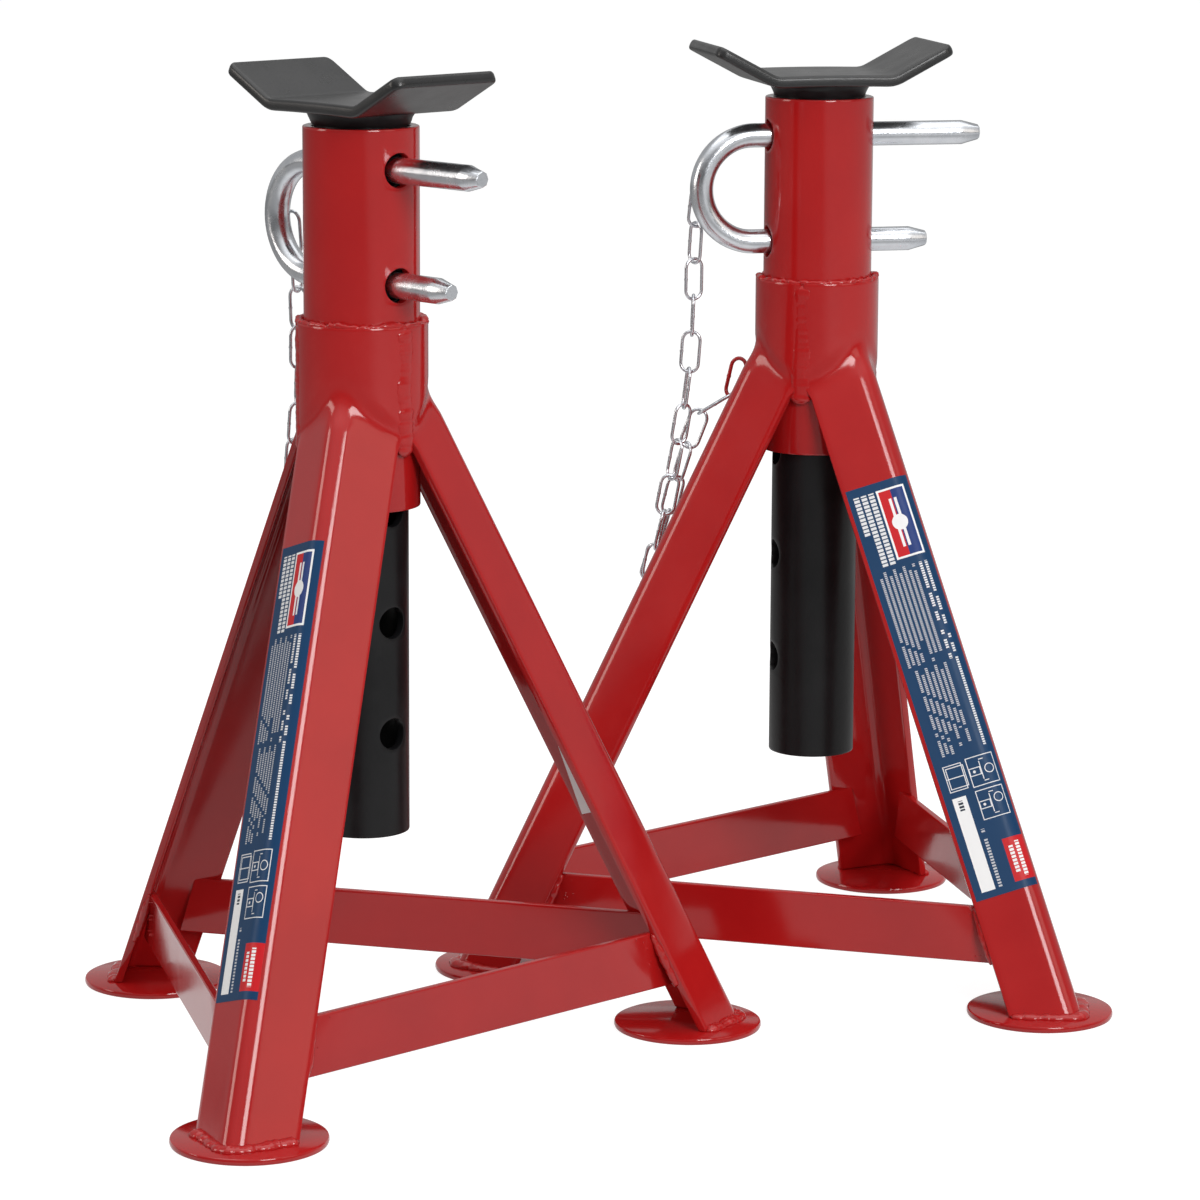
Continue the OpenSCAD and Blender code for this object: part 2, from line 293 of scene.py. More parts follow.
def section_at(across, depth):
    """(out, sideways) of a point of the leg's section, in the plane square to its corner line.
    across runs along the outer face from the free edge of the -Y side to that of the +Y side."""
    side = -1 if across < SECTION_LENGTH / 2 else 1
    from_edge = across if side < 0 else SECTION_LENGTH - across
    if from_edge < FLAT:
        from_corner = FLANGE - from_edge
        out = -from_corner * math.cos(HALF_ANGLE) - depth * math.sin(HALF_ANGLE)
        sideways = from_corner * math.sin(HALF_ANGLE) - depth * math.cos(HALF_ANGLE)
        return out, side * sideways
    a = (across - FLAT) / CORNER_R - SPREAD
    return (
        -CORNER_R / math.sin(HALF_ANGLE) + (CORNER_R - depth) * math.cos(a),
        (CORNER_R - depth) * math.sin(a),
    )


def level_point(across, z, depth):
    """A point of the leg at height z, in the leg's own azimuth (X outward)."""
    out, sideways = section_at(across, depth)
    return np.array([LEG_REACH - LEG_SLOPE * z + out / math.cos(LEG_TILT), sideways, z])


def square_point(across, w, depth):
    """A point of the leg at the distance w along its corner line."""
    out, sideways = section_at(across, depth)
    c, s = math.cos(LEG_TILT), math.sin(LEG_TILT)
    return np.array([LEG_REACH + out * c - w * s, sideways, out * s + w * c])


def across_stations():
    """Places along the leg's section: even on its flats and closer on its corner."""
    flat_steps, arc_steps = 9, 12
    flat = [FLAT * i / flat_steps for i in range(flat_steps)]
    arc = [FLAT + ARC * i / arc_steps for i in range(arc_steps + 1)]
    return flat + arc + [SECTION_LENGTH - a for a in reversed(flat)]


COLLAR_HALF = math.radians(58.6)  # half of what one leg's rolled top covers
SHOULDER_CORNER, SHOULDER_EDGE = 249.5, 233.5


def pressed_point(across, z, depth):
    """A point of the pressed plate: on the collar above, on the angle section below, with the
    shoulder between them higher at the leg's corner than at its edges."""
    s = 2 * across / SECTION_LENGTH - 1
    a = s * COLLAR_HALF
    r = SLEEVE_R + PLATE - depth
    on_collar = np.array([r * math.cos(a), r * math.sin(a), z])
    near_corner = 1 - smooth01((abs(s) - 0.1) / 0.5)
    meet = SHOULDER_EDGE + (SHOULDER_CORNER - SHOULDER_EDGE) * (1 - abs(s) ** 1.3)
    above, below = 3.5 + 3.5 * near_corner, 5 + 6 * near_corner
    w = smooth01((meet + above - z) / (above + below))
    if w == 0:
        return on_collar
    return (1 - w) * on_collar + w * level_point(across, z, depth)


def leg_shape():
    """One leg, in its own azimuth. Its rows are close over the shoulder, and one row near each
    end keeps the shading even."""
    end_row = 1.2
    heights = [COLLAR_TOP, COLLAR_TOP - end_row, 270, 266, 262] + [261 - 1.25 * i for i in range(33)]
    heights += [212, 190, 160, 130, 100, 70, 40, 20, FOOT_T + end_row, FOOT_T]
    stations = across_stations()
    rings = []
    for z in heights:
        outer = [pressed_point(a, z, 0.0) for a in stations]
        inner = [pressed_point(a, z, PLATE) for a in reversed(stations)]
        rings.append(outer + inner)
    return loft(rings)


# ---- tubes with cross holes ----


def pierced_tube(r_out, wall, z_low, z_high, hole_r, hole_zs, half_cols):
    """An upright tube with a round hole right through it along X at each height in hole_zs.
    Each hole has a window in the tube's grid, half_cols columns wide to each side, and rings of
    points lead from the window's outline to the hole. The rims and hole edges are rounded."""
    r_in, columns, rows, edge, end_row = r_out - wall, 120, 14, 0.5, 0.4
    half_h = hole_r + 2.6
    levels = []
    for z in sorted(hole_zs):
        levels += [z - half_h + 2 * half_h * i / rows for i in range(rows + 1)]
    # One row near each rim keeps the shading even.
    ends = [z_low + edge, z_low + edge + end_row, z_high - edge - end_row, z_high - edge]
    levels = sorted(set([round(v, 6) for v in levels] + ends))
    n_levels = len(levels)
    windows = [levels.index(round(z - half_h, 6)) for z in sorted(hole_zs)]
    points, faces = [], []

    def add(p):
        points.append(p)
        return len(points) - 1

    def add_at(c, r, z):
        a = 2 * math.pi * c / columns
        return add((r * math.cos(a), r * math.sin(a), z))

    walls = {}
    for face, r in (("out", r_out), ("in", r_in)):
        walls[face] = {(c, k): add_at(c, r, z) for c in range(columns) for k, z in enumerate(levels)}

    def in_window(c, k):
        for centre in (0, columns // 2):
            off = (c - centre + columns // 2) % columns - columns // 2
            if -half_cols <= off < half_cols and any(w <= k < w + rows for w in windows):
                return True
        return False

    for index in walls.values():
        for c in range(columns):
            for k in range(n_levels - 1):
                if not in_window(c, k):
                    c1 = (c + 1) % columns
                    faces.append([index[c, k], index[c1, k], index[c1, k + 1], index[c, k + 1]])

    def bridge(a, b):
        n = len(a)
        for i in range(n):
            faces.append([a[i], a[(i + 1) % n], b[(i + 1) % n], b[i]])

    quarter = edge * (1 - math.sqrt(0.5))
    for end, z in ((0, z_low), (n_levels - 1, z_high)):
        sign = -1 if end == 0 else 1
        loops = [[walls["out"][c, end] for c in range(columns)]]
        rim = [(r_out - quarter, z - sign * quarter), (r_out - edge, z)]
        rim += [(r_in + edge, z), (r_in + quarter, z - sign * quarter)]
        for r, rim_z in rim:
            loops.append([add_at(c, r, rim_z) for c in range(columns)])
        loops.append([walls["in"][c, end] for c in range(columns)])
        for a, b in zip(loops, loops[1:]):
            bridge(a, b)

    for centre, sign in ((0, 1), (columns // 2, -1)):
        for w, hole_z in zip(windows, sorted(hole_zs)):
            outline = [(c, w) for c in range(-half_cols, half_cols)]
            outline += [(half_cols, w + k) for k in range(rows)]
            outline += [(c, w + rows) for c in range(half_cols, -half_cols, -1)]
            outline += [(-half_cols, w + k) for k in range(rows, 0, -1)]
            angles = []
            for c, k in outline:
                y = math.sin(2 * math.pi * c / columns) * r_out
                angles.append(math.atan2(levels[k] - hole_z, y))

            def ring(radius, surface):
                out = []
                for a in angles:
                    y, dz = radius * math.cos(a), radius * math.sin(a)
                    x = math.sqrt(surface**2 - y * y)
                    out.append(add((sign * x, sign * y, hole_z + dz)))
                return out

            def halfway(radius):
                """A ring on the outer wall, halfway from the window's outline to the radius."""
                out = []
                for (c, k), a in zip(outline, angles):
                    p = points[walls["out"][(centre + c) % columns, k]]
                    y = 0.5 * p[1] * sign + 0.5 * radius * math.cos(a)
                    z = 0.5 * p[2] + 0.5 * (hole_z + radius * math.sin(a))
                    out.append(add((sign * math.sqrt(r_out**2 - y * y), sign * y, z)))
                return out

            loops = [[walls["out"][(centre + c) % columns, k] for c, k in outline]]
            loops.append(halfway(hole_r + edge))
            loops.append(ring(hole_r + edge, r_out))
            loops.append(ring(hole_r + quarter, r_out - quarter))
            loops.append(ring(hole_r, r_out - edge))
            loops.append(ring(hole_r, r_in))
            loops.append([walls["in"][(centre + c) % columns, k] for c, k in outline])
            for a, b in zip(loops, loops[1:]):
                bridge(a, b)
    used = sorted({i for f in faces for i in f})
    renumber = {old: new for new, old in enumerate(used)}
    return [points[i] for i in used], [[renumber[i] for i in f] for f in faces]


# ---- materials ----


class Nodes:
    """A small helper that writes the node tree of a new material, or of the world."""

    def __init__(self, name, kind=bpy.data.materials, place="Object"):
        self.owner = kind.new(name)
        self.owner.use_nodes = True
        self.tree = self.owner.node_tree
        self.place = self.tree.nodes.new("ShaderNodeTexCoord").outputs[place]

    def add(self, kind, inputs=(), **settings):
        node = self.tree.nodes.new(kind)
        for key, value in settings.items():
            setattr(node, key, value)
        for key, value in dict(inputs).items():
            self.put(node.inputs[key], value)
        return node

    def put(self, socket, value):
        if isinstance(value, bpy.types.NodeSocket):
            self.tree.links.new(value, socket)
        else:
            socket.default_value = value

    def noise(self, scale, detail, roughness=0.55):
        inputs = {"Vector": self.place, "Scale": scale, "Detail": detail, "Roughness": roughness}
        return self.add("ShaderNodeTexNoise", inputs).outputs["Fac"]

    def spread(self, value, low, high, from_low=0.3, from_high=0.7):
        node = self.add(
            "ShaderNodeMapRange",
            {"Value": value, "From Min": from_low, "From Max": from_high, "To Min": low, "To Max": high},
        )
        return node.outputs["Result"]

    def math(self, operation, *values):
        node = self.add("ShaderNodeMath", operation=operation)
        for i, value in enumerate(values):
            self.put(node.inputs[i], value)
        return node.outputs[0]

    def mix(self, factor, a, b):
        node = self.add("ShaderNodeMix", data_type="RGBA", blend_type="MIX")
        self.put(node.inputs["Factor"], factor)
        self.put(node.inputs["A"], a)
        self.put(node.inputs["B"], b)
        return node.outputs["Result"]

    def choose(self, factor, a, b):
        node = self.add("ShaderNodeMix", {"Factor": factor, "A": a, "B": b}, data_type="FLOAT")
        return node.outputs["Result"]

    def bump(self, height, strength, distance, normal=None):
        inputs = {"Height": height, "Strength": strength, "Distance": distance}
        if normal is not None:
            inputs["Normal"] = normal
        return self.add("ShaderNodeBump", inputs).outputs["Normal"]

    def shade(self, **values):
        for key, value in values.items():
            self.put(self.tree.nodes["Principled BSDF"].inputs[key.replace("_", " ")], value)
        return self.owner


def red_paint():
    """Thick gloss paint: faint patches, fine dark specks and orange peel."""
    n = Nodes("red_gloss_paint")
    patches = n.spread(n.noise(22, 4), 0.0, 1.0, 0.35, 0.65)
    color = n.mix(patches, (0.42, 0.0085, 0.0095, 1), (0.47, 0.0110, 0.011, 1))
    specks = n.spread(n.noise(1300, 2), 0.0, 1.0, 0.72, 0.80)
    color = n.mix(n.math("MULTIPLY", specks, 0.25), color, (0.24, 0.005, 0.006, 1))
    peel = n.noise(420, 2, 0.4)
    wave = n.noise(60, 2, 0.4)
    normal = n.bump(peel, 0.06, 0.0002)
    normal = n.bump(wave, 0.03, 0.0008, normal)
    rough = n.spread(n.noise(45, 5), 0.09, 0.15)
    return n.shade(Base_Color=color, Roughness=rough, Normal=normal, IOR=1.5)


def black_paint():
    """Semi-gloss black with a coarser peel."""
    n = Nodes("black_semigloss_paint")
    patches = n.spread(n.noise(30, 4), 0.0, 1.0, 0.35, 0.65)
    color = n.mix(patches, (0.0055, 0.0058, 0.0065, 1), (0.0095, 0.0095, 0.0105, 1))
    peel = n.noise(520, 3, 0.5)
    wave = n.noise(80, 2, 0.4)
    normal = n.bump(peel, 0.25, 0.0002)
    normal = n.bump(wave, 0.10, 0.0008, normal)
    rough = n.spread(n.noise(60, 5), 0.28, 0.40)
    return n.shade(Base_Color=color, Roughness=rough, Normal=normal, IOR=1.5, Specular_IOR_Level=0.28)


def saddle_paint():
    """The greyer, grainy black of the saddles."""
    n = Nodes("saddle_black_coat")
    patches = n.spread(n.noise(40, 4), 0.0, 1.0, 0.35, 0.65)
    color = n.mix(patches, (0.016, 0.0165, 0.017, 1), (0.024, 0.024, 0.025, 1))
    grain = n.noise(700, 3, 0.6)
    normal = n.bump(grain, 0.22, 0.0002)
    rough = n.spread(n.noise(90, 4), 0.26, 0.34)
    return n.shade(Base_Color=color, Roughness=rough, Normal=normal, IOR=1.5)


def zinc(name, tint, rough_low, rough_high, streak):
    """Bright zinc plate with faint drawing lines and cloudy patches."""
    n = Nodes(name)
    cloud = n.spread(n.noise(120, 5, 0.6), 0.0, 1.0, 0.3, 0.7)
    color = n.mix(cloud, (tint[0] * 0.86, tint[1] * 0.87, tint[2] * 0.89, 1), (*tint, 1))
    lines = n.noise(streak, 3, 0.6)
    fine = n.noise(2600, 2, 0.5)
    normal = n.bump(lines, 0.10, 0.0003)
    normal = n.bump(fine, 0.10, 0.00008, normal)
    rough = n.spread(n.noise(260, 4), rough_low, rough_high)
    return n.shade(Base_Color=color, Metallic=1.0, Roughness=rough, Normal=normal)


RED = red_paint()
BLACK = black_paint()
SADDLE_BLACK = saddle_paint()
PIN_ZINC = zinc("pin_bright_zinc", (0.70, 0.72, 0.75), 0.18, 0.30, 700)
CHAIN_ZINC = zinc("chain_bright_zinc", (0.68, 0.69, 0.72), 0.20, 0.32, 1500)

# ---- the printed label ----

LABEL_ACROSS = (1.5, 27.2)  # from the leg's free edge
NAVY, FADED_NAVY = (0.006, 0.045, 0.125, 1), (0.008, 0.052, 0.14, 1)
LABEL_WHITE, LABEL_INK = (0.95, 0.95, 0.95, 1), (0.04, 0.05, 0.07, 1)
LABEL_RED, LABEL_BLUE = (0.62, 0.014, 0.02, 1), (0.016, 0.045, 0.20, 1)
LINE = 0.35
STRIP_ALONG, STRIP_ACROSS = (126.6, 164.3), (4.5, 10.0)  # the print's blank white strip


def label_film():
    """Printed film. Its print is laid out in mm: b runs down the label from its upper end, and a
    across it from the leg's free edge. It has only plain blocks, frames and rows of dashes."""
    n = Nodes("printed_label_film")
    place = n.add("ShaderNodeAttribute", attribute_name="print_place").outputs["Vector"]
    parts = n.add("ShaderNodeSeparateXYZ", {"Vector": place})
    a, b = parts.outputs["X"], parts.outputs["Y"]

    def band(value, low, high):
        return n.math("COMPARE", value, (low + high) / 2, (high - low) / 2)

    def block(b_low, b_high, a_low, a_high):
        return n.math("MULTIPLY", band(b, b_low, b_high), band(a, a_low, a_high))

    def outline(b_low, b_high, a_low, a_high):
        inside = block(b_low + LINE, b_high - LINE, a_low + LINE, a_high - LINE)
        return n.math("SUBTRACT", block(b_low, b_high, a_low, a_high), inside)

    def disc(b_mid, a_mid, radius):
        across = n.math("SUBTRACT", a, a_mid)
        along = n.math("SUBTRACT", b, b_mid)
        squared = n.math("ADD", n.math("MULTIPLY", across, across), n.math("MULTIPLY", along, along))
        return n.math("LESS_THAN", squared, radius * radius)

    def circle(b_mid, a_mid, radius):
        return n.math("SUBTRACT", disc(b_mid, a_mid, radius), disc(b_mid, a_mid, radius - LINE))

    def strokes(pitch, fill):
        """Dashes along the label, each a fill's share of the pitch."""
        return n.math("LESS_THAN", n.math("FRACT", n.math("DIVIDE", b, pitch)), fill)

    def words(pitch, seed):
        """Cells of one pitch each, most of them on, which break a row of dashes up."""
        cell = n.math("FLOOR", n.math("DIVIDE", b, pitch))
        node = n.add("ShaderNodeTexWhiteNoise", {"W": n.math("ADD", cell, seed)}, noise_dimensions="1D")
        return n.math("GREATER_THAN", node.outputs["Value"], 0.13)

    def either(masks):
        total = masks[0]
        for m in masks[1:]:
            total = n.math("MAXIMUM", total, m)
        return total

    def row(b_low, b_high, a_low, a_high, pitch, fill, seed):
        dashes = n.math("MULTIPLY", strokes(pitch, fill), words(pitch * 2.0, seed))
        return n.math("MULTIPLY", block(b_low, b_high, a_low, a_high), dashes)

    bold = []
    for end, a_low in ((32.6, 9.6), (32.8, 6.6), (19.5, 3.6)):
        bold.append(row(3.5, end, a_low, a_low + 2.2, 1.5, 0.72, a_low))
    head = [row(34.6, 109.8, 22.6, 23.8, 0.95, 0.68, 31), row(34.6, 74.3, 20.3, 21.5, 0.95, 0.68, 32)]
    small = []
    ends = random.Random(5)
    for start, full, count in ((34.6, 73.5, 8), (75.0, 110.2, 7)):
        for i in range(count):
            end = full - ends.choice((0.0, 1.0, 3.0, 9.0))
            top, indent = 18.6 - 1.93 * i, 2.2 * (i % 2)
            small.append(row(start + indent, end, top - 1.05, top, 0.75, 0.62, 40 + i + start))
    frames = [outline(113.1, 124.8, 13.8, 24.9), outline(126.2, 137.9, 13.8, 24.9)]
    for mid, ball in ((118.95, 118.95), (132.05, 130.6)):
        frames += [
            circle(ball, 22.0, 1.9), disc(mid, 16.0, 0.55), outline(mid - 1.6, mid + 1.6, 14.0, 18.6),
            block(mid - 3.6, mid + 3.6, 18.6, 18.95), block(mid - 4.4, mid - 4.05, 18.8, 20.6),
            block(mid + 4.05, mid + 4.4, 18.8, 20.6),
        ]
    frames += [outline(113.7, 119.1, 4.6, 12.0), outline(118.75, 124.2, 4.6, 12.0)]
    frames.append(outline(114.7, 123.2, 5.4, 12.6))
    address = row(140.8, 164.0, 11.5, 12.9, 1.15, 0.6, 70)
    strip = block(*STRIP_ALONG, *STRIP_ACROSS)
    strip_note = n.math("MULTIPLY", block(128.0, 132.0, 6.3, 8.2), strokes(1.3, 0.7))

    patch = block(146.8, 164.0, 18.0, LABEL_ACROSS[1] + 1)
    patch_rows = [row(148.6, 162.6, 22.4, 24.2, 1.3, 0.70, 81), row(150.0, 161.0, 19.6, 21.3, 1.4, 0.70, 82)]
    emblem = block(3.3, 31.5, 12.7, 24.1)
    emblem_field = block(4.1, 30.7, 13.5, 23.3)
    emblem_red = block(4.1, 30.7, 13.5, 18.2)
    emblem_bar = either([block(7.6, 27.2, 16.6, 17.7), block(7.6, 27.2, 18.7, 19.8), disc(17.4, 18.3, 3.1)])

    fade = n.spread(n.noise(240, 3), 0.0, 0.12)
    color = n.mix(fade, NAVY, FADED_NAVY)
    color = n.mix(n.math("MULTIPLY", either([*small, address]), 0.62), color, LABEL_WHITE)
    color = n.mix(n.math("MULTIPLY", either([*bold, *head, *frames]), 0.85), color, LABEL_WHITE)
    color = n.mix(either([strip, emblem]), color, LABEL_WHITE)
    color = n.mix(strip_note, color, LABEL_INK)
    color = n.mix(emblem_field, color, LABEL_BLUE)
    color = n.mix(either([emblem_red, patch]), color, LABEL_RED)
    color = n.mix(either([emblem_bar, *patch_rows]), color, LABEL_WHITE)
    rough = n.spread(n.noise(130, 4), 0.34, 0.44)
    normal = n.bump(n.noise(300, 2), 0.06, 0.0002)
    return n.shade(Base_Color=color, Roughness=rough, Normal=normal, IOR=1.46, Specular_IOR_Level=0.22)


LABEL = label_film()

# ---- shapes of the pieces ----


def wavy(t, seed, scale):
    """Smooth noise from about -1 to 1, for welds and other handwork."""
    return 2.0 * noise.noise(Vector((t * scale, seed * 7.31, 0.5 * seed)))


def collar_bead(seed):
    """The uneven bead where the legs' rolled tops meet the sleeve."""
    steps = 150
    path, radii = [], []
    for i in range(steps):
        a = 2 * math.pi * i / steps
        around = Vector((math.cos(a) * 3.2, math.sin(a) * 3.2, seed))
        slow, fast = noise.noise(around), noise.noise(around * 4.5)
        r = SLEEVE_R + 1.25 + 0.25 * fast
        path.append((r * math.cos(a), r * math.sin(a), COLLAR_TOP - 0.1 + 0.8 * slow + 0.5 * fast))
        swell = 1 + 0.14 * math.sin(a * 30 + 3 * slow) + 0.35 * fast
        radii.append((1.65 * swell, 1.2 * swell))
    return sweep(path, radii, sides=10, closed=True)


def seam_bead(azimuth, seed, rise):
    """The upright weld between two legs' rolled tops. It stands rise - 1.1 mm proud."""
    steps = 70
    low, high = COLLAR_BOTTOM - 5.5, COLLAR_TOP - 0.6
    path, radii = [], []
    for i in range(steps + 1):
        z = low + (high - low) * i / steps
        end = min(1.0, min(i, steps - i) / 4 + 0.35)
        drift = 0.35 * wavy(z, seed, 0.12)
        path.append((SLEEVE_R + PLATE - 1.1 + 0.08 * wavy(z, seed + 3, 0.3), drift, z))
        ripple = 1 + 0.03 * math.sin(2 * math.pi * z / 2.4 + 1.5 * wavy(z, seed + 5, 0.2))
        swell = ripple * (1 + 0.10 * wavy(z, seed + 9, 0.22)) * end
        radii.append((4.0 * swell, rise * swell))
    return turned(sweep(path, radii, sides=14, up=(1, 0, 0)), azimuth)


def foot_bead(azimuth, seed):
    """The weld round the outside of a leg's lower end."""
    steps, inset = 72, 0.6
    path, radii = [], []
    for i in range(steps + 1):
        across = inset + (SECTION_LENGTH - 2 * inset) * i / steps
        path.append(level_point(across, FOOT_T + 0.3, -0.5 - 0.35 * wavy(across, seed, 0.35)))
        end = min(1.0, min(i, steps - i) / 5 + 0.45)
        ripple = 1 + 0.05 * math.sin(2 * math.pi * across / 3.1 + 2 * wavy(across, seed + 2, 0.2))
        swell = end * ripple * (1 + 0.20 * wavy(across, seed + 4, 0.22))
        radii.append((2.8 * swell, 1.8 * swell))
    return turned(sweep(path, radii, sides=10), azimuth)


def brace_frame_point(k, azimuth, across, z, depth):
    """A point of leg k's flange, seen in the frame of the brace at that azimuth."""
    return turn_z([level_point(across, z, depth)], LEG_AZIMUTH[k] - azimuth)[0]


def brace_end(k, side, azimuth, x, z):
    """Where a brace's line at x and z ends: at the inner face of leg k's flat side, or where
    the bar itself is cut off square."""
    free = 0.0 if side < 0 else SECTION_LENGTH
    inward = FLAT if side < 0 else SECTION_LENGTH - FLAT
    p = brace_frame_point(k, azimuth, free, z, PLATE)
    q = brace_frame_point(k, azimuth, inward, z, PLATE)
    y = p[1] + (q[1] - p[1]) * (x - p[0]) / (q[0] - p[0])
    return min(max(y, -BRACE_HALF), BRACE_HALF)


def rounded_outline(half_w, half_h, r, steps=4):
    """A rounded rectangle about the origin, as a list of (across, up) points. Its long sides
    have a point near each end, which keeps the shading of the flats even."""
    guard = 0.4
    wide, high = half_w - r > 2 * guard, half_h - r > 2 * guard
    outline = []
    for corner, (sx, sy) in enumerate(((1, 1), (-1, 1), (-1, -1), (1, -1))):
        mid_x, mid_y = sx * (half_w - r), sy * (half_h - r)
        on_side = [(sx * half_w, mid_y - sy * guard)] if high else []
        on_top = [(mid_x - sx * guard, sy * half_h)] if wide else []
        angles = [math.pi / 2 * (corner + i / steps) for i in range(steps + 1)]
        turn = [(mid_x + r * math.cos(a), mid_y + r * math.sin(a)) for a in angles]
        outline += on_side + turn + on_top if corner % 2 == 0 else on_top + turn + on_side
    return outline


def brace_shape(k):
    """Brace k, a flat bar between two legs."""
    azimuth = BRACE_AZIMUTH[k]
    ends = []
    for leg, side in ((k, 1), ((k + 1) % 3, -1)):
        ring = []
        for across, up in rounded_outline(PLATE / 2, BRACE_H / 2, 0.55):
            x, z = BRACE_REACH - PLATE / 2 + across, BRACE_Z + BRACE_H / 2 + up
            ring.append((x, brace_end(leg, side, azimuth, x, z), z))
        ends.append(np.array(ring))
    return turned(loft([ends[0] * (1 - t) + ends[1] * t for t in np.linspace(0, 1, 9)]), azimuth)


def brace_beads(k, seed):
    """The two lap welds of a brace, with the spatter round them."""
    azimuth, steps, spatter = BRACE_AZIMUTH[k], 26, 7
    rng = random.Random(seed)
    shapes = []
    for leg, side in ((k, 1), ((k + 1) % 3, -1)):
        free = 0.0 if side < 0 else SECTION_LENGTH
        path, radii = [], []
        for i in range(steps + 1):
            t = i / steps
            z = BRACE_Z + 1.0 + (BRACE_H - 1.6) * t
            p = brace_frame_point(leg, azimuth, free, z, PLATE - 0.4)
            path.append((p[0] + 0.15 * wavy(z, seed + leg, 0.3), p[1], z))
            moon = 0.5 + 0.6 * math.sin(math.pi * t) ** 0.6
            ripple = 1 + 0.05 * math.sin(2 * math.pi * z / 2.6) + 0.14 * wavy(z, seed + leg + 4, 0.3)
            radii.append(1.6 * moon * ripple)
        shapes.append(sweep(path, radii, sides=10, up=(1, 0, 0)))
        toward_middle = -1 if path[0][1] > 0 else 1
        for j in range(spatter):
            z = BRACE_Z + BRACE_H * rng.uniform(0.08, 0.95)
            edge = brace_frame_point(leg, azimuth, free, z, PLATE)[1]
            y = edge + toward_middle * rng.uniform(2.0, 9.0) * rng.random() ** 0.5
            r = rng.uniform(0.25, 0.5)
            shapes.append(lump((BRACE_REACH - 0.25 * r, y, z), r, seed + 31 * j + leg))
    return turned(joined(shapes), azimuth)


def foot_shape(azimuth):
    """A disc with rounded edges. Its innermost rings are closed by caps."""
    inner, edge, quarter = 0.6, 0.9, 0.26
    profile = [(inner, 0.0), (FOOT_R - edge, 0.0), (FOOT_R - quarter, quarter), (FOOT_R, edge)]
    profile += [(FOOT_R, FOOT_T - edge), (FOOT_R - quarter, FOOT_T - quarter), (FOOT_R - edge, FOOT_T)]
    profile.append((inner, FOOT_T))
    turn = np.linspace(0, 2 * math.pi, 97)[:-1]
    rings = [[(FOOT_REACH + r * math.cos(a), r * math.sin(a), z) for a in turn] for r, z in profile]
    return turned(loft(rings), azimuth)


def label_shape():
    """The label's film, wrapped round the flat side and corner of leg 1, with its print places."""
    low, high = LABEL_ACROSS
    stations = [low + (FLAT - low) * i / 6 for i in range(6)]
    stations += [FLAT + (high - FLAT) * i / 9 for i in range(10)]
    rings, places = [], []
    for w in np.linspace(LABEL_FROM, LABEL_TO, 15):
        outer = [square_point(a, w, -LABEL_T) for a in stations]
        rings.append(outer + [square_point(a, w, -FILM_GAP) for a in reversed(stations)])
        places += [(a, LABEL_TO - w, 0.0) for a in stations + stations[::-1]]
    return turned(loft(rings), LEG_AZIMUTH[0]), places


def sticker_shape():
    """The small white sticker inside leg 2, a little askew, with its print places. It carries
    the white strip of the label's print, and the strip's dashes fall between its middle rows."""
    low, high = STRIP_ACROSS[0] + 0.5, STRIP_ACROSS[1] - 0.4
    mid = 7.5
    rings, places = [], []
    for w, b in ((STICKER_FROM, 127.0), (108.0, 128.0), (116.0, 132.0), (STICKER_TO, 160.0)):
        askew = STICKER_ASKEW * (w - STICKER_FROM) / (STICKER_TO - STICKER_FROM)
        edge = SECTION_LENGTH - 1.2 - askew
        stations = [edge - STICKER_WIDTH, edge - 6.0, edge]
        lower = [square_point(a, w, PLATE + FILM_GAP) for a in stations]
        rings.append(lower + [square_point(a, w, PLATE + STICKER_T) for a in reversed(stations)])
        places += [(a, b, 0.0) for a in (low, mid, high, high, mid, low)]
    return turned(loft(rings), LEG_AZIMUTH[1]), places


SADDLE_REACH = SADDLE_HALF + WING


def saddle_profile():
    """Points (s, x, z, slope) along the saddle's upper face, from one tip to the other. Its
    middle is a slight arch, and s is the distance from the middle."""
    bend_from, bend_to, arch = SADDLE_HALF - 3.4, SADDLE_HALF + 2.6, math.radians(1.4)
    steps_mid, steps_bend, steps_wing, steps_corner = 10, 10, 8, 8

    def slope(s):
        if s < bend_from:
            return -arch * s / bend_from
        return -arch + (WING_ANGLE + arch) * smooth01((s - bend_from) / (bend_to - bend_from))

    fine = np.linspace(0, SADDLE_REACH, 971)
    x, z = [0.0], [SEAT_Z + 0.2]
    for s0, s1 in zip(fine, fine[1:]):
        mid = slope((s0 + s1) / 2)
        x.append(x[-1] + (s1 - s0) * math.cos(mid))
        z.append(z[-1] + (s1 - s0) * math.sin(mid))
    corner_from = SADDLE_REACH - SADDLE_CORNER
    marks = [bend_from * i / steps_mid for i in range(steps_mid)]
    marks += [bend_from + (bend_to - bend_from) * i / steps_bend for i in range(steps_bend)]
    marks += [bend_to + (corner_from - bend_to) * i / steps_wing for i in range(steps_wing)]
    for i in range(steps_corner + 1):
        marks.append(SADDLE_REACH - SADDLE_CORNER * (1 - math.sin(math.pi / 2 * i / steps_corner)))
    half = [(s, float(np.interp(s, fine, x)), float(np.interp(s, fine, z)), slope(s)) for s in marks]
    return [(-s, -px, pz, -sl) for s, px, pz, sl in reversed(half[1:])] + half


